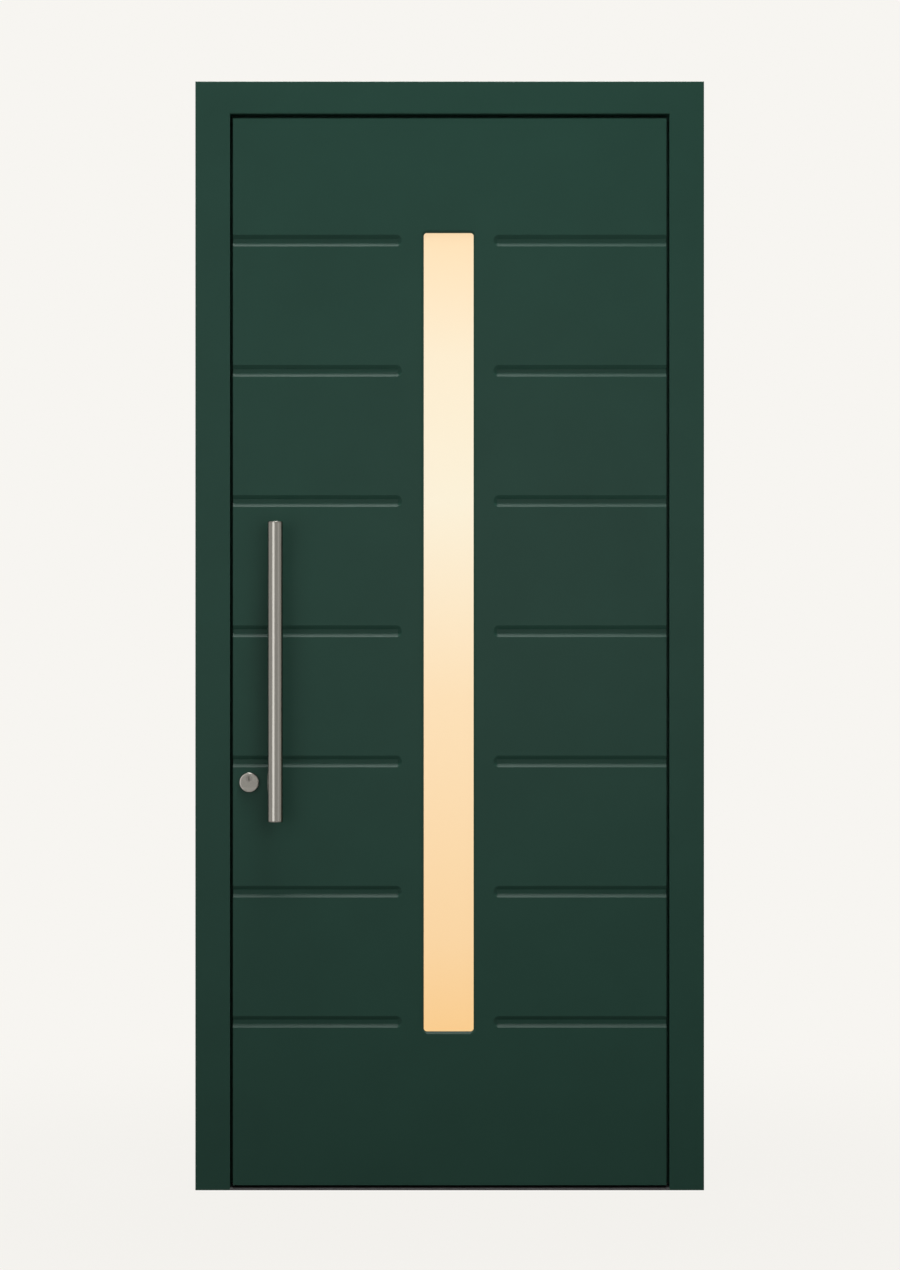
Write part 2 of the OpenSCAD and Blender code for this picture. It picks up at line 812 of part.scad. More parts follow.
// Leaf: one pressed groove on the hinge side of the glass, with a sloping, round-cornered end by the glass.
// Pushed back and widened it is also the bulge on the sheet's back.
module groove(start, end, z, back, wider) {
    near = face_y + back - over;
    floor_y = face_y + back + groove_depth;
    slope = (groove_mouth - groove_floor) / 2;
    spread = slope * (groove_depth + over) / groove_depth;
    bed = groove_floor / 2 + wider;
    corner_r = groove_corner + wider;
    corner_x = start + slope + groove_corner;
    corner_z = groove_floor / 2 - groove_corner;
    translate([corner_x, 0, z]) rotate([90, 0, 90]) linear_extrude(end - corner_x) polygon([
        [near, -bed - spread],
        [floor_y, -bed],
        [floor_y, bed],
        [near, bed + spread]
    ]);
    translate([0, 0, z - corner_z]) linear_extrude(2 * corner_z) polygon([
        [corner_x - corner_r - spread, near],
        [corner_x - corner_r, floor_y],
        [corner_x + over, floor_y],
        [corner_x + over, near]
    ]);
    for (side = [-1, 1]) {
        translate([corner_x, floor_y, z + side * corner_z]) rotate([90, 0, 0]) {
            cylinder(h = groove_depth + over, r1 = corner_r, r2 = corner_r + spread);
        }
    }
}

// All grooves on both sides of the glass, out to the given place
module grooves(reach, back, wider) {
    lock_end = glass_w / 2 - glass_x + groove_margin_lock;
    hinge_end = glass_w / 2 + glass_x + groove_margin_hinge;
    for (k = [0 : groove_count - 1]) {
        z = groove_first_z + k * groove_pitch;
        groove(hinge_end, reach, z, back, wider);
        mirror([1, 0, 0]) groove(lock_end, reach, z, back, wider);
    }
}

// Section of the glass opening's slanted rim, across its width or height and along Y
module rim_section(half, spread) {
    polygon([
        [-half - spread, face_y - over],
        [-half, rim_y],
        [half, rim_y],
        [half + spread, face_y - over]
    ]);
}

// The cut that slants the rim: two straight lengths and a cone in each corner
module glass_rim() {
    spread = rim_slant * (rim_depth + over) / rim_depth;
    corner_x = glass_w / 2 - glass_corner;
    corner_z = glass_h / 2 - glass_corner;
    translate([glass_x, 0, glass_z]) {
        translate([0, 0, -corner_z]) linear_extrude(2 * corner_z) rim_section(glass_w / 2, spread);
        translate([corner_x, 0, 0]) rotate([0, -90, 0]) {
            linear_extrude(2 * corner_x) rim_section(glass_h / 2, spread);
        }
        for (x = [-corner_x, corner_x], z = [-corner_z, corner_z]) {
            translate([x, rim_y, z]) rotate([90, 0, 0]) {
                cylinder(h = rim_depth + over, r1 = glass_corner, r2 = glass_corner + spread);
            }
        }
    }
}

// Section of the profile cylinder in X and Z, widened all round
module cylinder_outline(wider) {
    low = cylinder_r - cylinder_h + cylinder_w / 2;
    translate([axis_x, key_z]) {
        circle(cylinder_r + wider);
        translate([-cylinder_w / 2 - wider, low]) square([cylinder_w + 2 * wider, -low]);
        translate([0, low]) circle(cylinder_w / 2 + wider);
    }
}

// Way of the profile cylinder through the leaf
module cylinder_way() {
    through(face_y - over, inside_y + over) cylinder_outline(cylinder_clear);
}

// Way of the lever's spindle from the lock case to the inside
module spindle_way() {
    bar_along_y(axis_x, lever_z, lock_y, inside_y + over, follower_r);
}

// Ways of the pull bar's studs through the skin and the stile
module stud_ways(clear) {
    for (z = post_places) {
        bar_along_y(bar_x, z, face_y - over, leaf_outer_back_y + over, stud_r + clear);
    }
}

module outer_skin() {
    color(green) difference() {
        block([-leaf_half, face_y, leaf_bottom], [leaf_half, tray_y, leaf_top]);
        difference() {
            block([skin_t - leaf_half, skin_back_y, leaf_bottom + skin_t],
                  [leaf_half - skin_t, tray_y + over, leaf_top - skin_t]);
            grooves(leaf_half, skin_t, skin_t / 2);
            through(face_y, rim_end_y) glass_outline(rim_lip, glass_corner);
        }
        grooves(leaf_half + over, 0, 0);
        glass_rim();
        through(face_y - over, rim_end_y + over) glass_outline(0, glass_corner);
        cylinder_way();
        stud_ways(screw_clear);
    }
}

module foam_core() {
    color(foam) difference() {
        union() {
            block([skin_t - leaf_half, skin_back_y, leaf_bottom + skin_t],
                  [leaf_half - skin_t, tray_y, leaf_top - skin_t]);
            block([-stile_half, tray_y, leaf_bottom + bottom_rail_h],
                  [stile_half, inner_skin_y, leaf_top - top_rail_h]);
        }
        grooves(leaf_half, skin_t, skin_t / 2);
        through(skin_back_y - over, inner_skin_y + over) {
            glass_outline(glass_cover + glass_room, glass_corner);
        }
        cylinder_way();
        stud_ways(screw_clear);
    }
}

module inner_skin() {
    color(green) difference() {
        block([-flange_half, inner_skin_y, leaf_bottom], [flange_half, inside_y, flange_top]);
        through(inner_skin_y - over, inside_y + over) glass_outline(bead_t, glass_corner);
        cylinder_way();
        spindle_way();
        wing_screws(-1, screw_clear);
    }
}

// Strips that hold the leaf's outer and inner profiles apart, with their feet
module leaf_strips() {
    near = leaf_outer_back_y - strip_foot;
    far = flange_y + strip_foot;
    stile_strips = [stile_half + leaf_strip_inset, leaf_half - leaf_strip_inset - strip_t];
    top_rail_low = leaf_top - top_rail_h;
    rail_strips = [
        leaf_bottom + leaf_strip_inset,
        leaf_bottom + bottom_rail_h - leaf_strip_inset - strip_t,
        top_rail_low + leaf_strip_inset,
        leaf_top - leaf_strip_inset - strip_t
    ];
    for (side = [0, 1], x = stile_strips) {
        mirror([side, 0, 0]) block([x, near, leaf_bottom], [x + strip_t, far, leaf_top]);
    }
    for (z = rail_strips) {
        block([-stile_half, near, z], [stile_half, far, z + strip_t]);
    }
}

// A stile's outer profile on the hinge side, a shallow hollow box
module stile_outer() {
    difference() {
        block([stile_half, tray_y, leaf_bottom], [leaf_half, leaf_outer_back_y, leaf_top]);
        block([stile_half + profile_wall, tray_y + profile_wall, leaf_bottom - over],
              [leaf_half - profile_wall, leaf_outer_back_y - grip_wall, leaf_top + over]);
        leaf_strips();
    }
}

// A stile's inner profile on the hinge side, with its flange and the hardware channel
module stile_inner() {
    difference() {
        block([stile_half, flange_y, leaf_bottom], [flange_half, inner_skin_y, flange_top]);
        block([stile_half + profile_wall, flange_y + grip_wall, leaf_bottom - over],
              [flange_half - channel_depth - profile_wall, inner_skin_y - profile_wall, flange_top + over]);
        block([flange_half - channel_depth, lock_y - channel_w / 2, leaf_bottom - over],
              [flange_half + over, lock_y + channel_w / 2, flange_top + over]);
        leaf_strips();
        seal_groove();
    }
}

// Window in the channel's floor for a lock case
module case_window(low, high) {
    floor_x = edge_x + channel_depth;
    half_t = case_t / 2 + channel_clear;
    block([floor_x - over, lock_y - half_t, low - channel_clear],
          [floor_x + profile_wall + over, lock_y + half_t, high + channel_clear]);
}

module lock_stile_outer() {
    color(green) difference() {
        mirror([1, 0, 0]) stile_outer();
        cylinder_way();
        stud_ways(screw_clear);
    }
}

module lock_stile_inner() {
    color(green) difference() {
        mirror([1, 0, 0]) stile_inner();
        cylinder_way();
        spindle_way();
        case_window(case_low, case_high);
        for (z = side_bolt_z) {
            case_window(z - side_case_h / 2, z + side_case_h / 2);
        }
        faceplate_screws(screw_clear);
    }
}

module hinge_stile_outer() {
    color(green) stile_outer();
}

module hinge_stile_inner() {
    color(green) difference() {
        stile_inner();
        wing_screws(-1, screw_clear);
    }
}

// A hollow rail between the stiles
module rail(near, far, low, high, near_wall, far_wall) {
    difference() {
        block([-stile_half, near, low], [stile_half, far, high]);
        block([-stile_half - over, near + near_wall, low + profile_wall],
              [stile_half + over, far - far_wall, high - profile_wall]);
        leaf_strips();
    }
}

module top_rail_outer() {
    color(green) {
        rail(tray_y, leaf_outer_back_y, leaf_top - top_rail_h, leaf_top, profile_wall, grip_wall);
    }
}

module top_rail_inner() {
    color(green) {
        rail(flange_y, inner_skin_y, leaf_top - top_rail_h, flange_top, grip_wall, profile_wall);
    }
}

module bottom_rail_outer() {
    color(green) {
        rail(tray_y, leaf_outer_back_y, leaf_bottom, leaf_bottom + bottom_rail_h, profile_wall, grip_wall);
    }
}

module bottom_rail_inner() {
    color(green) difference() {
        rail(flange_y, inner_skin_y, leaf_bottom, leaf_bottom + bottom_rail_h, grip_wall, profile_wall);
        seal_groove();
    }
}

module leaf_insulating_strips() {
    color(black) leaf_strips();
}

// Groove for the bottom seal's foot, behind the flange's front wall
module seal_groove() {
    reach = flange_half + over;
    block([-reach, seal_y, leaf_bottom - over], [reach, seal_y + seal_w, leaf_bottom + seal_foot]);
}

module bottom_seal() {
    lip = seal_y + (seal_w - seal_lip) / 2;
    reach = flange_half - channel_depth - profile_wall;
    color(black) {
        block([-reach, seal_y, leaf_bottom], [reach, seal_y + seal_w, leaf_bottom + seal_foot]);
        block([-reach, lip, threshold_h + seal_clear], [reach, lip + seal_lip, leaf_bottom]);
    }
}

// A pane of the glass unit
module pane(near, thickness) {
    through(near, near + thickness) translate([glass_x, glass_z]) square([unit_w, unit_h], center = true);
}

module outer_pane() {
    color(glow) pane(pane_y, pane_t);
}

module middle_pane() {
    color(glow) pane(middle_pane_y, middle_pane_t);
}

module inner_pane() {
    color(glow) pane(inner_pane_y, pane_t);
}

module glass_spacers() {
    outer = glass_cover - spacer_inset;
    color(metal) {
        glass_ring(outer - spacer_w, outer, pane_y + pane_t, middle_pane_y);
        glass_ring(outer - spacer_w, outer, middle_pane_y + middle_pane_t, inner_pane_y);
    }
}

module glazing_tape() {
    color(black) {
        glass_ring(tape_inner, tape_inner + tape_w, skin_back_y, pane_y);
        glass_ring(tape_inner, tape_inner + tape_w, unit_back_y, bead_y);
    }
}

// Inner glazing frame: a foot on the tape, a lining through the leaf and a cover on the inner skin
module glazing_frame() {
    color(green) {
        glass_ring(0, glass_cover, bead_y, bead_y + bead_t);
        glass_ring(0, bead_t, bead_y, inside_y + bead_t);
        glass_ring(0, bead_cover, inside_y, inside_y + bead_t);
    }
}

// Two blocks that carry the glass unit on the foam's sill
module setting_blocks() {
    top = glass_bottom - glass_cover;
    reach = unit_w / 2 - glass_room - glass_corner;
    color(black) for (x = [glass_x - reach, glass_x + reach - block_l]) {
        block([x, pane_y, top - glass_room], [x + block_l, unit_back_y, top]);
    }
}

module pull_bar() {
    color(metal) translate([bar_x, bar_y, bar_z - tube_len / 2]) difference() {
        cylinder(h = tube_len, r = bar_r);
        translate([0, 0, -over]) cylinder(h = tube_len + 2 * over, r = bar_r - bar_wall);
    }
}

// Caps with a spigot that close the bar's ends flush
module pull_bar_caps() {
    color(metal) for (end = [0, 1]) {
        translate([bar_x, bar_y, bar_z]) mirror([0, 0, end]) translate([0, 0, tube_len / 2]) {
            cylinder(h = cap_t, r = bar_r);
            translate([0, 0, -bar_r]) cylinder(h = bar_r, r = bar_r - bar_wall - screw_clear);
        }
    }
}

module pull_bar_posts() {
    color(metal) difference() {
        for (z = post_places) {
            bar_along_y(bar_x, z, bar_y, face_y, post_r);
        }
        translate([bar_x, bar_y, bar_z - bar_len]) cylinder(h = 2 * bar_len, r = bar_r + screw_clear);
        for (z = post_places) {
            bar_along_y(bar_x, z, face_y - stud_in_post, face_y + over, stud_r + screw_clear);
        }
    }
}

// Studs in the posts, each with a nut behind the stile's front wall
module pull_bar_studs() {
    nut_y = tray_y + profile_wall;
    color(steel) for (z = post_places) {
        bar_along_y(bar_x, z, face_y - stud_in_post, leaf_outer_back_y, stud_r);
        bar_along_y(bar_x, z, nut_y, leaf_outer_back_y - grip_wall, stud_nut_r);
    }
}

// Half section of a rosette with a rounded rim, as radius and height
module rosette_section(r, h) {
    square([r - rosette_round, h]);
    square([r, h - rosette_round]);
    translate([r - rosette_round, h - rosette_round]) circle(rosette_round);
}

module outer_rosette() {
    color(metal) difference() {
        turned(axis_x, face_y, key_z - rosette_drop, false) rosette_section(rosette_r, rosette_h);
        through(face_y - cylinder_proud, face_y + over) cylinder_outline(cylinder_clear);
        bar_along_y(axis_x, key_z, face_y - rosette_h - over, face_y, plug_r + turn_clear);
    }
}

module inner_rosette() {
    color(metal) difference() {
        turned(axis_x, inside_y, key_z, true) rosette_section(inner_rosette_r, inner_rosette_h);
        through(inside_y - over, inside_y + cylinder_proud) cylinder_outline(cylinder_clear);
        bar_along_y(axis_x, key_z, inside_y, inside_y + inner_rosette_h + over, plug_r + turn_clear);
    }
}

module lever_rosette() {
    far = inside_y + inner_rosette_h + over;
    color(metal) difference() {
        turned(axis_x, inside_y, lever_z, true) rosette_section(inner_rosette_r, inner_rosette_h);
        bar_along_y(axis_x, lever_z, inside_y - over, far, lever_r + turn_clear);
    }
}

// Profile cylinder with the bore of its plug and the slot of its cam
module cylinder_body() {
    near = face_y - cylinder_proud;
    far = inside_y + cylinder_proud;
    slot = cam_w / 2 + cam_clear;
    color(metal) difference() {
        through(near, far) cylinder_outline(0);
        bar_along_y(axis_x, key_z, near - over, far + over, plug_r + turn_clear);
        bar_along_y(axis_x, key_z, lock_y - slot, lock_y + slot, cam_r + cam_clear);
    }
}

module lock_faceplate() {
    color(metal) difference() {
        block([edge_x, lock_y - faceplate_w / 2, faceplate_low],
              [case_x, lock_y + faceplate_w / 2, faceplate_high]);
        bolt_ways(edge_x - over, case_x + over, bolt_clear);
        faceplate_screws(screw_clear);
    }
}

// A hollow case behind the faceplate
module hollow_case(low, high, depth) {
    difference() {
        block([case_x, lock_y - case_t / 2, low], [case_x + depth, lock_y + case_t / 2, high]);
        block([case_x + case_wall, lock_y - case_t / 2 + case_wall, low + case_wall],
              [case_x + depth - case_wall, lock_y + case_t / 2 - case_wall, high - case_wall]);
        bolt_ways(case_x - over, case_x + case_wall + over, bolt_clear);
    }
}

module lock_case() {
    color(steel) difference() {
        hollow_case(case_low, case_high, case_depth);
        cylinder_way();
        bar_along_y(axis_x, lever_z, lock_y - case_t, lock_y + case_t, follower_r + turn_clear);
    }
}

module auxiliary_cases() {
    color(steel) for (z = side_bolt_z) {
        hollow_case(z - side_case_h / 2, z + side_case_h / 2, side_case_depth);
    }
}

module hinge_bushes() {
    color(black) for (z = hinge_places) {
        translate([hinge_x, hinge_y, z - leaf_knuckle_h / 2]) difference() {
            cylinder(h = leaf_knuckle_h, r = pin_r + bush_wall + turn_clear);
            translate([0, 0, -over]) cylinder(h = leaf_knuckle_h + 2 * over, r = pin_r + turn_clear);
        }
    }
}

module leaf_screws() {
    color(metal) {
        wing_screws(-1, 0);
        faceplate_screws(0);
    }
}

// Turning pieces: the key plug runs through the cylinder and carries the cam and the thumb turn
module key_plug() {
    color(brass) difference() {
        bar_along_y(axis_x, key_z, plug_front_y, plug_back_y, plug_r);
        block([axis_x - keyway_w / 2, plug_front_y - over, key_z - keyway_h / 2],
              [axis_x + keyway_w / 2, plug_front_y + keyway_depth, key_z + keyway_h / 2]);
    }
}

module lock_cam() {
    near = lock_y - cam_w / 2;
    far = lock_y + cam_w / 2;
    color(steel) difference() {
        union() {
            bar_along_y(axis_x, key_z, near, far, cylinder_r);
            intersection() {
                bar_along_y(axis_x, key_z, near, far, cam_r);
                block([axis_x - cylinder_w / 2, near, key_z - 2 * cam_r],
                      [axis_x + cylinder_w / 2, far, key_z]);
            }
        }
        bar_along_y(axis_x, key_z, near - over, far + over, plug_r + screw_clear);
    }
}

module thumb_turn() {
    end_y = plug_back_y + turn_l;
    color(metal) intersection() {
        bar_along_y(axis_x, key_z, plug_back_y, end_y, turn_w / 2);
        block([axis_x - turn_t / 2, plug_back_y, key_z - turn_w],
              [axis_x + turn_t / 2, end_y, key_z + turn_w]);
    }
}

// Square hole and bar of the spindle
module spindle_bar(near, far) {
    translate([axis_x, 0, lever_z]) {
        block([-spindle_w / 2, near, -spindle_w / 2], [spindle_w / 2, far, spindle_w / 2]);
    }
}

// Lever: a round neck, a bend and a grip with a round end
module lever_handle() {
    bend_y = inside_y + lever_reach - lever_bend;
    grip_y = inside_y + lever_reach;
    color(metal) difference() {
        union() {
            bar_along_y(axis_x, lever_z, inside_y + bolt_clear, bend_y, lever_r);
            translate([axis_x + lever_bend, bend_y, lever_z]) rotate([0, 0, 90]) {
                rotate_extrude(angle = 90) translate([lever_bend, 0]) circle(lever_r);
            }
            bar_along_x(grip_y, lever_z, axis_x + lever_bend, axis_x + lever_len - lever_r, lever_r);
            translate([axis_x + lever_len - lever_r, grip_y, lever_z]) sphere(lever_r);
        }
        spindle_bar(inside_y - over, bend_y);
    }
}

module lever_spindle() {
    color(steel) spindle_bar(lock_y - case_t / 2, inside_y + lever_reach - lever_bend);
}

// Follower: a hub on the spindle and an arm that draws the latch back
module latch_follower() {
    arm_t = case_t - 2 * case_wall - 2 * bolt_clear;
    color(steel) difference() {
        union() {
            bar_along_y(axis_x, lever_z, lock_y - case_t / 2, lock_y + case_t / 2, follower_r);
            block([axis_x - follower_arm_w / 2, lock_y - arm_t / 2, lever_z],
                  [axis_x + follower_arm_w / 2, lock_y + arm_t / 2, lever_z + follower_arm]);
        }
        spindle_bar(lock_y - case_t, lock_y + case_t);
    }
}

// Sliding pieces: the latch bolt with a slanted nose towards the closing side and a lug for the follower
module latch_bolt() {
    front = edge_x - latch_throw;
    lug_x = axis_x + follower_arm_w / 2 + lug_play;
    back = lug_x + lug_w + latch_tail;
    near = lock_y - bolt_t / 2;
    far = lock_y + bolt_t / 2;
    low = latch_z - latch_h / 2;
    color(metal) {
        translate([0, 0, low]) linear_extrude(latch_h) polygon([
            [front, far],
            [front, far - latch_tip],
            [edge_x, near],
            [back, near],
            [back, far]
        ]);
        block([lug_x, near, lever_z + follower_r + lug_play], [lug_x + lug_w, far, low]);
    }
}

// A square bolt, withdrawn, with its end in the faceplate's face
module square_bolt(z, h) {
    block([edge_x, lock_y - bolt_t / 2, z - h / 2], [edge_x + bolt_l, lock_y + bolt_t / 2, z + h / 2]);
}

module deadbolt() {
    color(metal) square_bolt(deadbolt_z, deadbolt_h);
}

module auxiliary_bolts() {
    color(metal) for (z = side_bolt_z) {
        square_bolt(z, side_bolt_h);
    }
}

// Rods that slide in the channel behind the faceplate
module drive_rods() {
    rod_x = case_x + (channel_depth - faceplate_t - rod_t) / 2;
    color(steel) for (span = rod_spans) {
        block([rod_x, lock_y - rod_w / 2, span[0]], [rod_x + rod_t, lock_y + rod_w / 2, span[1]]);
    }
}

lock_jamb_outer();
lock_jamb_inner();
hinge_jamb_outer();
hinge_jamb_inner();
head_outer();
head_inner();
frame_insulating_strips();
frame_corner_cleats();
stop_gasket();
threshold();
main_strike_plate();
auxiliary_strike_plates();
hinge_frame_wings();
hinge_pins();
frame_screws();
outer_skin();
foam_core();
inner_skin();
lock_stile_outer();
lock_stile_inner();
hinge_stile_outer();
hinge_stile_inner();
top_rail_outer();
top_rail_inner();
bottom_rail_outer();
bottom_rail_inner();
leaf_insulating_strips();
bottom_seal();
outer_pane();
middle_pane();
inner_pane();
glass_spacers();
glazing_tape();
glazing_frame();
setting_blocks();
pull_bar();
pull_bar_caps();
pull_bar_posts();
pull_bar_studs();
outer_rosette();
inner_rosette();
lever_rosette();
cylinder_body();
lock_faceplate();
lock_case();
auxiliary_cases();
hinge_leaf_wings();
hinge_bushes();
leaf_screws();
key_plug();
lock_cam();
thumb_turn();
lever_handle();
lever_spindle();
latch_follower();
latch_bolt();
deadbolt();
auxiliary_bolts();
drive_rods();
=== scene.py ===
"""Looks of a panelled front door in its frame: finishes, eased edges and a plain studio stage."""

import json
import math

import bmesh
import bpy
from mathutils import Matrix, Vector


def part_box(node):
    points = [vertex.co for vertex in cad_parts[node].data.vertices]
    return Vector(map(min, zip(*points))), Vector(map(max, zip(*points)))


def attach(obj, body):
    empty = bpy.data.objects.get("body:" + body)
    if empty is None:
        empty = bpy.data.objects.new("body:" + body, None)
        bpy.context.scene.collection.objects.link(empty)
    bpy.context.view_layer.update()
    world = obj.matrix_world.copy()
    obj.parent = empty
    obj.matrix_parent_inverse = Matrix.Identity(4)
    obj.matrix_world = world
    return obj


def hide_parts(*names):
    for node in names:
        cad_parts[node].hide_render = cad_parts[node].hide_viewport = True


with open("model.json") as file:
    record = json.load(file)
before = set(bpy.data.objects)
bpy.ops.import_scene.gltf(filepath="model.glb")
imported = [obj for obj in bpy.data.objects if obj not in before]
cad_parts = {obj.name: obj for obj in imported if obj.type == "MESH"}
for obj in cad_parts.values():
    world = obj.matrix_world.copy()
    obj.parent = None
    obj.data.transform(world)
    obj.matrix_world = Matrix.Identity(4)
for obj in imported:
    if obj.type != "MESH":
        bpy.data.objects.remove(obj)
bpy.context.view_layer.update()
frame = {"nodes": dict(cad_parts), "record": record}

bl_info = {
    "name": "Panelled Front Door",
    "version": (1, 0, 0),
    "blender": (4, 5, 0),
    "location": "3D View > Sidebar > Front Door",
    "description": "Dresses the packed front door with its finishes and sets it on a studio stage",
    "category": "Object",
}

RECORD = frame["record"]
BODY_OF = {node: body for body, nodes in RECORD["behaviour"]["bodies"].items() for node in nodes}
SLOT_OF = {part["node"]: part["material_slot"] for part in RECORD["subparts"]}

UP = Vector((0, 0, 1))
ACROSS = Vector((1, 0, 0))
OUTSIDE = Vector((0, -1, 0))
INSIDE = Vector((0, 1, 0))

# Vertices of a CAD mesh that are closer than this, in metres, are one vertex
MERGE_DISTANCE = 1e-5
# Faces of a CAD mesh that differ by less than this lie in one plane
FLAT_ANGLE = math.radians(0.4)
# Edges sharper than this stay sharp in the shading
SHARP_ANGLE = math.radians(32)
# An edge runs along a direction when the cosine between the two is at least this
ALONG_COSINE = 0.99
# An edge is on the side that faces a direction when one of its faces turns there by at least
# the first cosine, and the other turns away by no more than the second
FACING_COSINE = 0.5
AWAY_COSINE = -0.1

# Noise lies between these values over most of a surface
NOISE_LOW = 0.3
NOISE_HIGH = 0.7
# Scale of the noise that makes lines in brushed and drawn metal, along the lines and across them
BRUSH_ALONG = 9
BRUSH_ACROSS = 1500
DRAWN_ALONG = 8
DRAWN_ACROSS = 900
# Painted glow in the frosted pane, standing in for light from behind it: a height in the pane, and
# the share of the upper colour there
PAINTED_GLOW = ((0.0, 0.0), (0.12, 0.24), (0.42, 0.47), (0.66, 1.0), (0.84, 0.85), (1.0, 0.4))
# Half the width of the floor, in metres
FLOOR_REACH = 30.0


class DoorFinishes(bpy.types.PropertyGroup):
    """Colours of the door's surfaces"""
    coat: bpy.props.FloatVectorProperty(
        name="Powder coat", description="Dark green of the frame and both skins",
        subtype="COLOR", size=3, default=(0.0122, 0.0405, 0.0292))
    steel: bpy.props.FloatVectorProperty(
        name="Brushed steel",
        description="Stainless steel of the pull bar, rosettes, lever and plates",
        subtype="COLOR", size=3, default=(0.23, 0.223, 0.205))
    zinc: bpy.props.FloatVectorProperty(
        name="Plain steel", description="Zinc-plated steel of screws, pins, bolts and cases",
        subtype="COLOR", size=3, default=(0.5, 0.51, 0.52))
    # Darker than plain nickel so that the key plug reads as dark as its shaded keyhole: partly the
    # metal's colour, partly painted shade
    nickel: bpy.props.FloatVectorProperty(
        name="Nickel", description="Nickel-plated brass of the lock cylinder",
        subtype="COLOR", size=3, default=(0.2, 0.193, 0.177))
    aluminium: bpy.props.FloatVectorProperty(
        name="Bare aluminium", description="Mill-finish aluminium of cleats and glass spacers",
        subtype="COLOR", size=3, default=(0.62, 0.63, 0.64))
    threshold: bpy.props.FloatVectorProperty(
        name="Threshold", description="Dark anodised aluminium of the threshold",
        subtype="COLOR", size=3, default=(0.03, 0.03, 0.031))
    rubber: bpy.props.FloatVectorProperty(
        name="Rubber", description="Black rubber of gaskets, seals and glazing tape",
        subtype="COLOR", size=3, default=(0.01, 0.01, 0.011))
    plastic: bpy.props.FloatVectorProperty(
        name="Insulating plastic",
        description="Black plastic of the insulating strips, bushes and blocks",
        subtype="COLOR", size=3, default=(0.012, 0.012, 0.013))
    foam: bpy.props.FloatVectorProperty(
        name="Foam", description="Pale yellow foam between the skins",
        subtype="COLOR", size=3, default=(0.75, 0.68, 0.48))
    # Colours of the painted glow: emission in the frosted pane stands in for warm light behind it
    painted_glow_top: bpy.props.FloatVectorProperty(
        name="Glass, upper", description="Warm light in the upper half of the frosted glass",
        subtype="COLOR", size=3, default=(0.93, 0.84, 0.655))
    painted_glow_low: bpy.props.FloatVectorProperty(
        name="Glass, lower", description="Warm light at the foot of the frosted glass",
        subtype="COLOR", size=3, default=(1.0, 0.58, 0.198))


class DoorEdges(bpy.types.PropertyGroup):
    """Widths to which sharp edges are eased"""
    frame_edge: bpy.props.FloatProperty(
        name="Frame edge", description="Rounding along the frame's profiles",
        unit="LENGTH", default=0.002, min=0.0002, max=0.004)
    pressed_edge: bpy.props.FloatProperty(
        name="Pressed edge", description="Rounding of the outer skin's folds and grooves",
        unit="LENGTH", default=0.0015, min=0.0002, max=0.0028)
    sheet_edge: bpy.props.FloatProperty(
        name="Sheet edge", description="Rounding of the inner skin and the glazing frame",
        unit="LENGTH", default=0.0008, min=0.0002, max=0.002)
    cap_edge: bpy.props.FloatProperty(
        name="Cap edge", description="Rounding of the pull bar's end caps",
        unit="LENGTH", default=0.002, min=0.0005, max=0.004)
    grip_edge: bpy.props.FloatProperty(
        name="Grip edge", description="Rounding of the thumb turn",
        unit="LENGTH", default=0.0008, min=0.0002, max=0.0015)
    metal_edge: bpy.props.FloatProperty(
        name="Metal edge",
        description="Rounding of plates, bolts, hinges, the threshold and the leaf's profiles",
        unit="LENGTH", default=0.0004, min=0.0001, max=0.001)


class DoorStage(bpy.types.PropertyGroup):
    """Camera, light, backdrop and floor"""
    backdrop: bpy.props.FloatVectorProperty(
        name="Backdrop", description="Pale colour behind and under the door",
        subtype="COLOR", size=3, default=(0.93, 0.913, 0.879))
    floor_grey: bpy.props.FloatVectorProperty(
        name="Floor", description="Grey of the floor itself, which takes the shadow",
        subtype="COLOR", size=3, default=(0.22, 0.216, 0.208))
    floor_plain: bpy.props.FloatProperty(
        name="Plain floor", description="How far the backdrop's colour covers the floor at the door",
        subtype="FACTOR", default=0.95, min=0.0, max=1.0)
    shadow_near: bpy.props.FloatProperty(
        name="Shadow, near", description="Distance at which the shadow starts to fade",
        unit="LENGTH", default=0.5)
    shadow_far: bpy.props.FloatProperty(
        name="Shadow, far", description="Distance from which the floor is all backdrop",
        unit="LENGTH", default=2.5)
    camera_lens: bpy.props.FloatProperty(
        name="Camera lens", description="Focal length of the camera",
        unit="CAMERA", default=100.0)
    camera_distance: bpy.props.FloatProperty(
        name="Camera distance", description="From the camera to the leaf's outer face",
        unit="LENGTH", default=6.935)
    camera_height: bpy.props.FloatProperty(
        name="Camera height", description="Height of the camera above the floor",
        unit="LENGTH", default=1.0915)
    camera_aside: bpy.props.FloatProperty(
        name="Camera aside", description="How far the camera stands right of the door's middle",
        unit="LENGTH", default=0.0006)
    world_light: bpy.props.FloatProperty(
        name="World light", description="Strength of the even light from all round", default=0.04)
    high_power: bpy.props.FloatProperty(
        name="High lamp", description="Lamp above the door that draws its grooves",
        unit="POWER", default=130.0)
    upper_power: bpy.props.FloatProperty(
        name="Upper lamp", description="Lamp above and in front of the door",
        unit="POWER", default=40.0)
    front_power: bpy.props.FloatProperty(
        name="Front lamp", description="Soft lamp straight in front of the door",
        unit="POWER", default=12.6)
    left_power: bpy.props.FloatProperty(
        name="Left lamp", description="Upright soft lamp at the left that draws the pull bar",
        unit="POWER", default=39.0)
    right_power: bpy.props.FloatProperty(
        name="Right lamp", description="Upright weak lamp at the right of the pull bar",
        unit="POWER", default=4.407)
    room_high_power: bpy.props.FloatProperty(
        name="Room lamp, high", description="Lamp above the inner side",
        unit="POWER", default=80.0)
    room_soft_power: bpy.props.FloatProperty(
        name="Room lamp, soft", description="Soft upright lamp on the inner side",
        unit="POWER", default=40.0)
    edge_power: bpy.props.FloatProperty(
        name="Edge lamps", description="Soft lamps at both sides of the frame, each",
        unit="POWER", default=16.0)


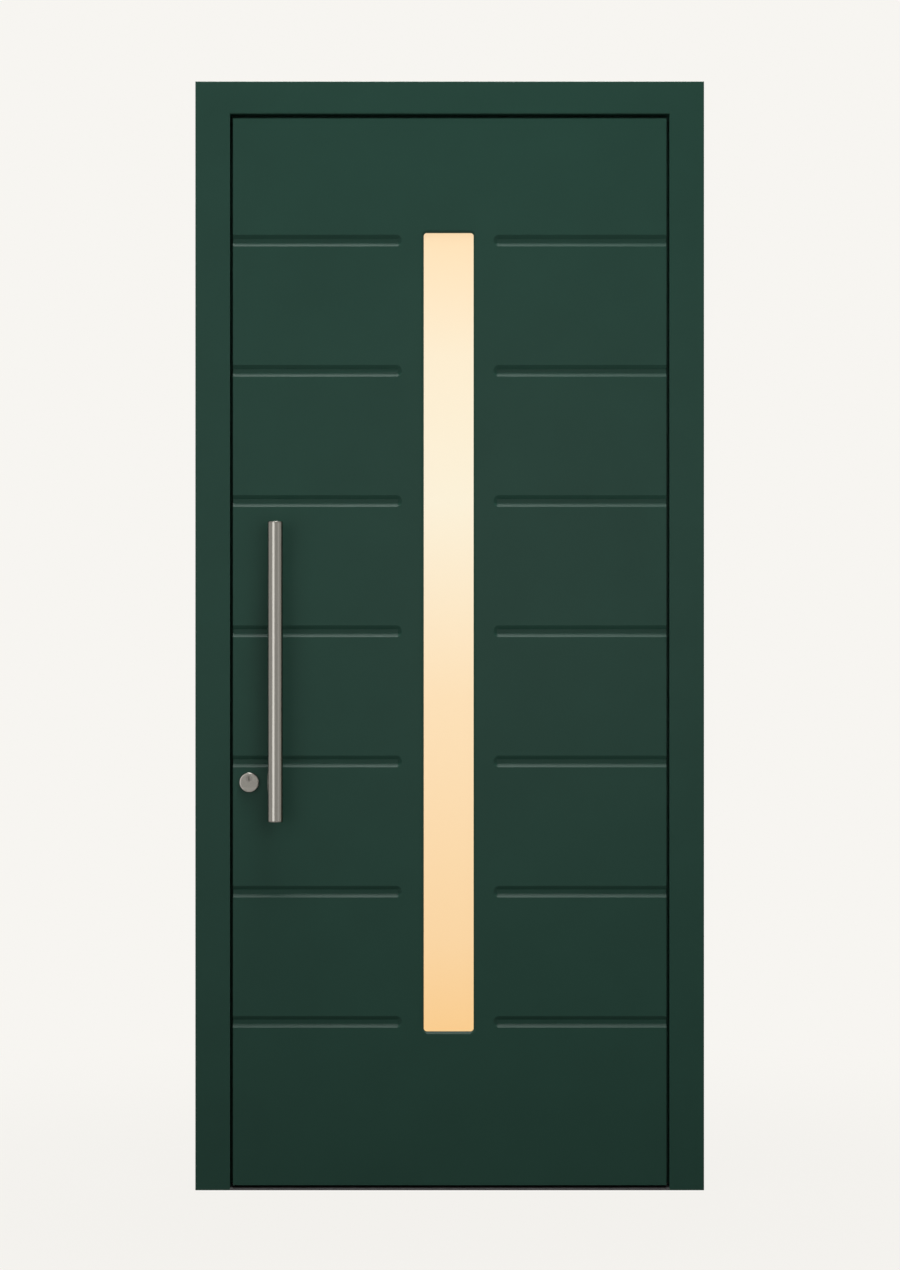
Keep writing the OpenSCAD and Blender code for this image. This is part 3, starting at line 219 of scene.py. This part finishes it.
def choices():
    """The scene's own settings: finishes, edges and stage."""
    scene = bpy.context.scene
    return scene.door_finishes, scene.door_edges, scene.door_stage


class Finish:
    """A material under construction: its nodes, its links and its main shader."""

    def __init__(self, name):
        self.material = bpy.data.materials.new(name)
        self.material.use_nodes = True
        self.tree = self.material.node_tree
        self.shader = self.tree.nodes["Principled BSDF"]

    def node(self, kind, **settings):
        """A new node with its settings."""
        made = self.tree.nodes.new(kind)
        for key, value in settings.items():
            setattr(made, key, value)
        return made

    def link(self, out, into):
        """Joins an output to an input."""
        self.tree.links.new(out, into)

    def set(self, **values):
        """Sets sockets of the main shader that are the same all over the surface."""
        for key, value in values.items():
            if hasattr(value, "__len__"):
                value = (*value, 1.0)
            self.shader.inputs[key.replace("_", " ")].default_value = value

    def grain(self, scale, detail=2.0, stretch=(1, 1, 1)):
        """Noise on Object coordinates; stretch makes it run along one direction."""
        place = self.node("ShaderNodeTexCoord")
        turn = self.node("ShaderNodeMapping")
        turn.inputs["Scale"].default_value = stretch
        noise = self.node("ShaderNodeTexNoise")
        noise.inputs["Scale"].default_value = scale
        noise.inputs["Detail"].default_value = detail
        self.link(place.outputs["Object"], turn.inputs["Vector"])
        self.link(turn.outputs["Vector"], noise.inputs["Vector"])
        return noise.outputs["Fac"]

    def shades(self, factor, stops):
        """Maps a factor to colours, given as (place, colour)."""
        ramp = self.node("ShaderNodeValToRGB")
        elements = ramp.color_ramp.elements
        while len(elements) < len(stops):
            elements.new(0.5)
        for element, (place, colour) in zip(elements, stops):
            element.position = place
            element.color = (*colour, 1.0)
        self.link(factor, ramp.inputs["Fac"])
        return ramp.outputs["Color"]

    def mottle(self, colour, factor, amount):
        """Colours the surface a little darker and lighter than the given colour, by noise."""
        dark = tuple(c * (1 - amount) for c in colour)
        light = tuple(c * (1 + amount) for c in colour)
        shade = self.shades(factor, [(NOISE_LOW, dark), (NOISE_HIGH, light)])
        self.link(shade, self.shader.inputs["Base Color"])

    def relief(self, factor, height, strength):
        """Raises the surface a little, by noise."""
        bump = self.node("ShaderNodeBump")
        bump.inputs["Strength"].default_value = strength
        bump.inputs["Distance"].default_value = height
        self.link(factor, bump.inputs["Height"])
        self.link(bump.outputs["Normal"], self.shader.inputs["Normal"])

    def roughness(self, factor, low, high):
        """Spreads the surface's roughness between low and high, by noise."""
        mapped = self.node("ShaderNodeMapRange")
        mapped.inputs["From Min"].default_value = NOISE_LOW
        mapped.inputs["From Max"].default_value = NOISE_HIGH
        mapped.inputs["To Min"].default_value = low
        mapped.inputs["To Max"].default_value = high
        self.link(factor, mapped.inputs["Value"])
        self.link(mapped.outputs["Result"], self.shader.inputs["Roughness"])


def powder_coat():
    """Fine-textured satin powder coat: a tight pebble, faint clouding and a weak sheen."""
    finishes, _, _ = choices()
    finish = Finish("green_powder_coat")
    pebble = finish.grain(scale=1600, detail=1.0)
    clouds = finish.grain(scale=9, detail=3.0)
    finish.mottle(finishes.coat, clouds, amount=0.035)
    finish.roughness(pebble, low=0.32, high=0.4)
    finish.relief(pebble, height=0.00005, strength=0.35)
    finish.set(Specular_IOR_Level=0.09)
    return finish.material


def brushed_steel(name, stretch):
    """Stainless steel with fine brush lines along one direction."""
    finishes, _, _ = choices()
    finish = Finish(name)
    lines = finish.grain(scale=1, detail=3.0, stretch=stretch)
    finish.mottle(finishes.steel, lines, amount=0.1)
    finish.roughness(lines, low=0.16, high=0.28)
    finish.relief(lines, height=0.00001, strength=0.2)
    finish.set(Metallic=1.0)
    return finish.material


def plated_metal(name, colour, rough, cloudy=0.06):
    """Plated or mill-finish metal with soft clouds in its colour."""
    finish = Finish(name)
    clouds = finish.grain(scale=140, detail=4.0)
    pores = finish.grain(scale=2500, detail=1.0)
    finish.mottle(colour, clouds, amount=cloudy)
    finish.roughness(clouds, low=rough - 0.06, high=rough + 0.06)
    finish.relief(pores, height=0.00001, strength=0.3)
    finish.set(Metallic=1.0)
    return finish.material


def moulded(name, colour, rough, pebble_scale, height):
    """Rubber, plastic or foam: an even colour with a fine pebble."""
    finish = Finish(name)
    pebble = finish.grain(scale=pebble_scale, detail=2.0)
    finish.mottle(colour, pebble, amount=0.12)
    finish.roughness(pebble, low=rough - 0.08, high=rough + 0.08)
    finish.relief(pebble, height, strength=0.4)
    finish.set(Specular_IOR_Level=0.25)
    return finish.material


def anodised_threshold():
    """Dark anodised aluminium, drawn along the threshold's length."""
    finishes, _, _ = choices()
    finish = Finish("dark_anodised")
    lines = finish.grain(scale=1, detail=3.0, stretch=(DRAWN_ALONG, DRAWN_ACROSS, DRAWN_ACROSS))
    finish.mottle(finishes.threshold, lines, amount=0.15)
    finish.roughness(lines, low=0.42, high=0.58)
    finish.relief(lines, height=0.00003, strength=0.3)
    finish.set(Specular_IOR_Level=0.2)
    return finish.material


def frosted_glass():
    """Frosted pane with a painted warm glow, brightest in its upper half: its emission stands in for
    light behind the pane.
    """
    finishes, _, _ = choices()
    low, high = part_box("outer_pane")
    finish = Finish("frosted_glass")
    place = finish.node("ShaderNodeTexCoord")
    split = finish.node("ShaderNodeSeparateXYZ")
    height = finish.node("ShaderNodeMapRange")
    height.inputs["From Min"].default_value = low.z
    height.inputs["From Max"].default_value = high.z
    finish.link(place.outputs["Object"], split.inputs["Vector"])
    finish.link(split.outputs["Z"], height.inputs["Value"])
    top = Vector(finishes.painted_glow_top)
    foot = Vector(finishes.painted_glow_low)
    stops = [(level, foot.lerp(top, share)) for level, share in PAINTED_GLOW]
    # Painted glow: emission colour set by height in the pane
    glow = finish.shades(height.outputs["Result"], stops)
    finish.link(glow, finish.shader.inputs["Emission Color"])
    frost = finish.grain(scale=3200, detail=2.0)
    finish.roughness(frost, low=0.42, high=0.58)
    finish.relief(frost, height=0.00004, strength=0.3)
    finish.set(Base_Color=top * 0.22, Emission_Strength=0.79, Specular_IOR_Level=0.1)
    return finish.material


def clear_glass():
    """Clear float glass with a faint green tint."""
    finish = Finish("clear_glass")
    smear = finish.grain(scale=12, detail=3.0)
    finish.roughness(smear, low=0.0, high=0.04)
    finish.set(Base_Color=(0.93, 0.97, 0.95), Transmission_Weight=1.0, IOR=1.45)
    return finish.material


def make_finishes():
    """All finishes by their slot in the record, and the steel that is brushed from side to side."""
    finishes, _, _ = choices()
    coat = powder_coat()
    upright = (BRUSH_ACROSS, BRUSH_ACROSS, BRUSH_ALONG)
    level = (BRUSH_ALONG, BRUSH_ACROSS, BRUSH_ACROSS)
    return {
        "green_coat": coat,
        "coated_hinge": coat,
        "insulating_plastic": moulded(
            "insulating_plastic", finishes.plastic, rough=0.55, pebble_scale=700, height=0.00006),
        "seal_rubber": moulded(
            "seal_rubber", finishes.rubber, rough=0.72, pebble_scale=900, height=0.00008),
        "dark_threshold": anodised_threshold(),
        "bare_aluminium": plated_metal("mill_aluminium", finishes.aluminium, rough=0.4),
        "brushed_stainless": brushed_steel("steel_brushed_upright", upright),
        "plain_steel": plated_metal("zinc_plated", finishes.zinc, rough=0.36, cloudy=0.1),
        # Nickel here is darkened as painted shade for the keyhole, as well as being the plug's metal
        "nickel_brass": plated_metal("nickel_plated", finishes.nickel, rough=0.22, cloudy=0.04),
        "frosted_glass": frosted_glass(),
        "clear_glass": clear_glass(),
        "insulating_foam": moulded(
            "cut_foam", finishes.foam, rough=0.9, pebble_scale=450, height=0.0004),
        "level_brush": brushed_steel("steel_brushed_level", level),
    }


FINISHES = {}


def finish_named(name):
    """A finish by its name in make_finishes, which runs on first use."""
    if not FINISHES:
        FINISHES.update(make_finishes())
    return FINISHES[name]


def dress(*nodes, finish=None):
    """Gives CAD nodes whose shape is already right their slot's finish, or another one."""
    for node in nodes:
        for slot in frame["nodes"][node].material_slots:
            slot.material = finish_named(finish or SLOT_OF[node])


def merged(node):
    """A bmesh of a CAD node, its loose triangles joined into flat faces."""
    bm = bmesh.new()
    bm.from_mesh(frame["nodes"][node].data)
    bmesh.ops.remove_doubles(bm, verts=bm.verts, dist=MERGE_DISTANCE)
    bmesh.ops.dissolve_limit(bm, angle_limit=FLAT_ANGLE, verts=bm.verts, edges=bm.edges)
    return bm


def sharp_edges(bm, angle=30, along=None, facing=None, convex=False, shortest=0.0):
    """Edges to ease: sharper than an angle in degrees and not shorter than a length.

    Where asked, only those along a direction, on the side that faces one, or convex ones.
    """
    chosen = []
    for edge in bm.edges:
        if len(edge.link_faces) != 2 or edge.calc_length() < shortest:
            continue
        if edge.calc_face_angle(0.0) < math.radians(angle):
            continue
        if convex and not edge.is_convex:
            continue
        if along is not None:
            run = (edge.verts[1].co - edge.verts[0].co).normalized()
            if abs(run.dot(along)) < ALONG_COSINE:
                continue
        if facing is not None:
            turns = sorted(face.normal.dot(facing) for face in edge.link_faces)
            if turns[0] < AWAY_COSINE or turns[1] < FACING_COSINE:
                continue
        chosen.append(edge)
    return chosen


def ease(bm, edges, width, segments):
    """Rounds the given edges."""
    if not edges:
        raise RuntimeError("no edge to ease")
    bmesh.ops.bevel(
        bm, geom=edges, offset=width, offset_type="OFFSET", segments=segments, profile=0.5,
        affect="EDGES", clamp_overlap=True, material=-1)


def stand_for(node, bm, finish):
    """Makes a piece of a bmesh, in place of a CAD node and on that node's body."""
    name = node + "_eased"
    mesh = bpy.data.meshes.new(name)
    bm.to_mesh(mesh)
    bm.free()
    mesh.shade_smooth()
    mesh.set_sharp_from_angle(angle=SHARP_ANGLE)
    mesh.materials.append(finish_named(finish or SLOT_OF[node]))
    piece = bpy.data.objects.new(name, mesh)
    bpy.context.collection.objects.link(piece)
    weights = piece.modifiers.new("flat faces stay flat", "WEIGHTED_NORMAL")
    weights.keep_sharp = True
    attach(piece, BODY_OF[node])
    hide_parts(node)


def eased(node, width, segments=3, finish=None, **which):
    """Replaces a CAD node by a copy whose sharp edges are rounded."""
    bm = merged(node)
    ease(bm, sharp_edges(bm, **which), width, segments)
    stand_for(node, bm, finish)


class DOOR_OT_frame(bpy.types.Operator):
    """Frame: jambs, head, threshold, gasket and the hidden strips and cleats"""
    bl_idname = "door.frame"
    bl_label = "Frame"

    def execute(self, context):
        _, edges, _ = choices()
        for node in ("lock_jamb_outer", "lock_jamb_inner", "hinge_jamb_outer", "hinge_jamb_inner"):
            eased(node, edges.frame_edge, along=UP, convex=True)
        for node in ("head_outer", "head_inner"):
            eased(node, edges.frame_edge, along=ACROSS, convex=True)
        eased("threshold", edges.metal_edge, along=ACROSS, convex=True)
        dress("frame_insulating_strips", "frame_corner_cleats", "stop_gasket")
        return {"FINISHED"}


class DOOR_OT_leaf(bpy.types.Operator):
    """Leaf: grooved outer skin, inner skin, and the stiles, rails, foam and seal between them"""
    bl_idname = "door.leaf"
    bl_label = "Leaf"

    def execute(self, context):
        _, edges, _ = choices()
        eased("outer_skin", edges.pressed_edge, angle=15, facing=OUTSIDE, shortest=0.002)
        eased("inner_skin", edges.sheet_edge, angle=60, facing=INSIDE, shortest=0.004)
        for stile in ("lock_stile", "hinge_stile"):
            for side in ("_outer", "_inner"):
                eased(stile + side, edges.metal_edge, segments=2, along=UP, convex=True)
        for rail in ("top_rail", "bottom_rail"):
            for side in ("_outer", "_inner"):
                eased(rail + side, edges.metal_edge, segments=2, along=ACROSS, convex=True)
        dress("foam_core", "leaf_insulating_strips", "bottom_seal")
        return {"FINISHED"}


class DOOR_OT_glass(bpy.types.Operator):
    """Glass: frosted outer pane, two clear panes, spacers, tape, blocks and the glazing frame"""
    bl_idname = "door.glass"
    bl_label = "Glass"

    def execute(self, context):
        _, edges, _ = choices()
        dress("outer_pane", "middle_pane", "inner_pane")
        dress("glass_spacers", "glazing_tape", "setting_blocks")
        eased("glazing_frame", edges.sheet_edge, angle=40, facing=INSIDE)
        return {"FINISHED"}


class DOOR_OT_pull_bar(bpy.types.Operator):
    """Pull bar: tube, end caps, posts and studs"""
    bl_idname = "door.pull_bar"
    bl_label = "Pull bar"

    def execute(self, context):
        _, edges, _ = choices()
        eased("pull_bar_caps", edges.cap_edge, segments=4, angle=60, convex=True)
        dress("pull_bar", "pull_bar_posts", "pull_bar_studs")
        return {"FINISHED"}


class DOOR_OT_lock(bpy.types.Operator):
    """Lock: rosettes, cylinder, key plug, cases, bolts, faceplate and strike plates"""
    bl_idname = "door.lock"
    bl_label = "Lock"

    def execute(self, context):
        _, edges, _ = choices()
        dress("outer_rosette", "inner_rosette", "lever_rosette", finish="level_brush")
        dress("cylinder_body", "key_plug", "lock_cam")
        dress("lock_case", "auxiliary_cases", "drive_rods")
        for node in ("lock_faceplate", "main_strike_plate", "auxiliary_strike_plates"):
            eased(node, edges.metal_edge, segments=2, along=UP, convex=True)
        for node in ("deadbolt", "auxiliary_bolts", "latch_bolt"):
            eased(node, edges.metal_edge, segments=2, convex=True)
        return {"FINISHED"}


class DOOR_OT_handle(bpy.types.Operator):
    """Inside handle: lever, spindle, follower and thumb turn"""
    bl_idname = "door.handle"
    bl_label = "Inside handle"

    def execute(self, context):
        _, edges, _ = choices()
        eased("thumb_turn", edges.grip_edge, angle=50, convex=True, finish="level_brush")
        dress("lever_handle", finish="level_brush")
        dress("lever_spindle", "latch_follower")
        return {"FINISHED"}


class DOOR_OT_hinges(bpy.types.Operator):
    """Hinges: wings, pins, bushes and all screws"""
    bl_idname = "door.hinges"
    bl_label = "Hinges and screws"

    def execute(self, context):
        _, edges, _ = choices()
        for node in ("hinge_frame_wings", "hinge_leaf_wings"):
            eased(node, edges.metal_edge, segments=2, angle=60, convex=True, shortest=0.004)
        dress("hinge_pins", "hinge_bushes", "frame_screws", "leaf_screws")
        return {"FINISHED"}


def area_lamp(name, power, place, target, size, glossy=True):
    """A rectangular lamp that faces a point; glossy says whether it shows in reflections."""
    lamp = bpy.data.lights.new(name, "AREA")
    lamp.shape = "RECTANGLE"
    lamp.size, lamp.size_y = size
    lamp.energy = power
    holder = bpy.data.objects.new(name, lamp)
    holder.location = place
    holder.rotation_euler = (Vector(target) - Vector(place)).to_track_quat("-Z", "Y").to_euler()
    holder.visible_camera = False
    holder.visible_glossy = glossy
    bpy.context.collection.objects.link(holder)


def sees_backdrop(tree):
    """One for rays that see the backdrop: from the camera, off metal or through glass."""
    path = tree.nodes.new("ShaderNodeLightPath")
    seen = path.outputs["Is Camera Ray"]
    for ray in ("Is Glossy Ray", "Is Transmission Ray"):
        either = tree.nodes.new("ShaderNodeMath")
        either.operation = "MAXIMUM"
        tree.links.new(seen, either.inputs[0])
        tree.links.new(path.outputs[ray], either.inputs[1])
        seen = either.outputs["Value"]
    return seen


def pale_floor(stage):
    """Matt floor under the backdrop's colour, which lets a faint shadow through near the door."""
    finish = Finish("pale_floor")
    finish.set(Base_Color=stage.floor_grey, Roughness=0.9, Specular_IOR_Level=0.0)
    plain = finish.node("ShaderNodeEmission")
    plain.inputs["Color"].default_value = (*stage.backdrop, 1.0)
    place = finish.node("ShaderNodeTexCoord")
    away = finish.node("ShaderNodeVectorMath", operation="LENGTH")
    fade = finish.node("ShaderNodeMapRange", interpolation_type="SMOOTHSTEP")
    fade.inputs["From Min"].default_value = stage.shadow_near
    fade.inputs["From Max"].default_value = stage.shadow_far
    fade.inputs["To Min"].default_value = stage.floor_plain
    cover = finish.node("ShaderNodeMath", operation="MULTIPLY")
    mix = finish.node("ShaderNodeMixShader")
    finish.link(place.outputs["Object"], away.inputs[0])
    finish.link(away.outputs["Value"], fade.inputs["Value"])
    finish.link(sees_backdrop(finish.tree), cover.inputs[0])
    finish.link(fade.outputs["Result"], cover.inputs[1])
    finish.link(cover.outputs["Value"], mix.inputs["Fac"])
    finish.link(finish.shader.outputs["BSDF"], mix.inputs[1])
    finish.link(plain.outputs["Emission"], mix.inputs[2])
    finish.link(mix.outputs["Shader"], finish.tree.nodes["Material Output"].inputs["Surface"])
    return finish.material


class DOOR_OT_stage(bpy.types.Operator):
    """Stage: pale floor, even world, soft lamps and the camera"""
    bl_idname = "door.stage"
    bl_label = "Stage"

    def floor(self, stage):
        """A wide flat floor at the door's foot."""
        bm = bmesh.new()
        bmesh.ops.create_grid(bm, x_segments=1, y_segments=1, size=FLOOR_REACH)
        mesh = bpy.data.meshes.new("floor")
        bm.to_mesh(mesh)
        bm.free()
        mesh.materials.append(pale_floor(stage))
        piece = bpy.data.objects.new("floor", mesh)
        bpy.context.collection.objects.link(piece)

    def world(self, stage):
        """Even weak light from all round, and the backdrop's colour for rays that see it."""
        world = bpy.data.worlds.new("studio")
        world.use_nodes = True
        tree = world.node_tree
        even = tree.nodes["Background"]
        even.inputs["Color"].default_value = (1.0, 1.0, 1.0, 1.0)
        even.inputs["Strength"].default_value = stage.world_light
        backdrop = tree.nodes.new("ShaderNodeBackground")
        backdrop.inputs["Color"].default_value = (*stage.backdrop, 1.0)
        mix = tree.nodes.new("ShaderNodeMixShader")
        tree.links.new(sees_backdrop(tree), mix.inputs["Fac"])
        tree.links.new(even.outputs["Background"], mix.inputs[1])
        tree.links.new(backdrop.outputs["Background"], mix.inputs[2])
        tree.links.new(mix.outputs["Shader"], tree.nodes["World Output"].inputs["Surface"])
        bpy.context.scene.world = world

    def outside_lamps(self, stage):
        """Lamps that draw the grooves from above and the pull bar from both sides."""
        bar = (-0.34, -0.1, 1.02)
        area_lamp(
            "high", stage.high_power, place=(-0.34, -0.85, 5.07), target=(0, 0, 1.2),
            size=(2.2, 1.0))
        area_lamp(
            "upper", stage.upper_power, place=(0.1, -1.8, 4.4), target=(0, 0, 1.0),
            size=(1.6, 0.9))
        area_lamp(
            "front", stage.front_power, place=(0.25, -1.5, 1.3), target=(0.25, 0, 1.3),
            size=(0.9, 1.2), glossy=False)
        area_lamp(
            "left", stage.left_power, place=(-1.95, -3.4, 1.3), target=bar, size=(2.0, 2.8))
        area_lamp(
            "right", stage.right_power, place=(2.38, -2.3, 1.2), target=bar, size=(1.2, 2.8))

    def inside_lamps(self, stage):
        """Lamps for the inner side and for the frame's two edges."""
        middle = (0, 0, 1.1)
        area_lamp(
            "room_high", stage.room_high_power, place=(0.3, 1.7, 3.6), target=middle,
            size=(2.0, 1.2))
        area_lamp(
            "room_soft", stage.room_soft_power, place=(-0.5, 2.6, 1.4), target=middle,
            size=(1.6, 2.0))
        for side in (-1, 1):
            area_lamp(
                "edge", stage.edge_power, place=(2.6 * side, 0.4, 1.6),
                target=(0.5 * side, 0.03, 1.1), size=(1.0, 2.0), glossy=False)

    def camera(self, stage):
        """A camera square on to the leaf's outer face."""
        low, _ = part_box("outer_skin")
        lens = bpy.data.cameras.new("camera")
        lens.lens = stage.camera_lens
        holder = bpy.data.objects.new("camera", lens)
        holder.location = (
            stage.camera_aside, low.y - stage.camera_distance, stage.camera_height)
        holder.rotation_euler = INSIDE.to_track_quat("-Z", "Y").to_euler()
        bpy.context.collection.objects.link(holder)
        bpy.context.scene.camera = holder

    def execute(self, context):
        _, _, stage = choices()
        self.floor(stage)
        self.world(stage)
        self.outside_lamps(stage)
        self.inside_lamps(stage)
        self.camera(stage)
        context.scene.view_settings.view_transform = "Standard"
        return {"FINISHED"}


class DOOR_PT_panel(bpy.types.Panel):
    """Settings of the door, and the steps that dress it"""
    bl_idname = "DOOR_PT_panel"
    bl_label = "Front Door"
    bl_space_type = "VIEW_3D"
    bl_region_type = "UI"
    bl_category = "Front Door"

    def draw(self, context):
        for group in choices():
            box = self.layout.box()
            for name in group.bl_rna.properties.keys():
                if name not in ("name", "rna_type"):
                    box.prop(group, name)
        for step in STEPS:
            self.layout.operator(step.bl_idname)


GROUPS = {"door_finishes": DoorFinishes, "door_edges": DoorEdges, "door_stage": DoorStage}
STEPS = (
    DOOR_OT_frame, DOOR_OT_leaf, DOOR_OT_glass, DOOR_OT_pull_bar, DOOR_OT_lock, DOOR_OT_handle,
    DOOR_OT_hinges, DOOR_OT_stage,
)


def register():
    """Registers the settings, the steps and the panel."""
    for name, group in GROUPS.items():
        bpy.utils.register_class(group)
        setattr(bpy.types.Scene, name, bpy.props.PointerProperty(type=group))
    for step in STEPS:
        bpy.utils.register_class(step)
    bpy.utils.register_class(DOOR_PT_panel)


def unregister():
    """Takes out what register put in."""
    bpy.utils.unregister_class(DOOR_PT_panel)
    for step in reversed(STEPS):
        bpy.utils.unregister_class(step)
    for name, group in GROUPS.items():
        delattr(bpy.types.Scene, name)
        bpy.utils.unregister_class(group)


def main():
    """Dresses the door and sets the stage."""
    register()
    bpy.ops.door.frame()
    bpy.ops.door.leaf()
    bpy.ops.door.glass()
    bpy.ops.door.pull_bar()
    bpy.ops.door.lock()
    bpy.ops.door.handle()
    bpy.ops.door.hinges()
    bpy.ops.door.stage()


if __name__ == "__main__":
    main()
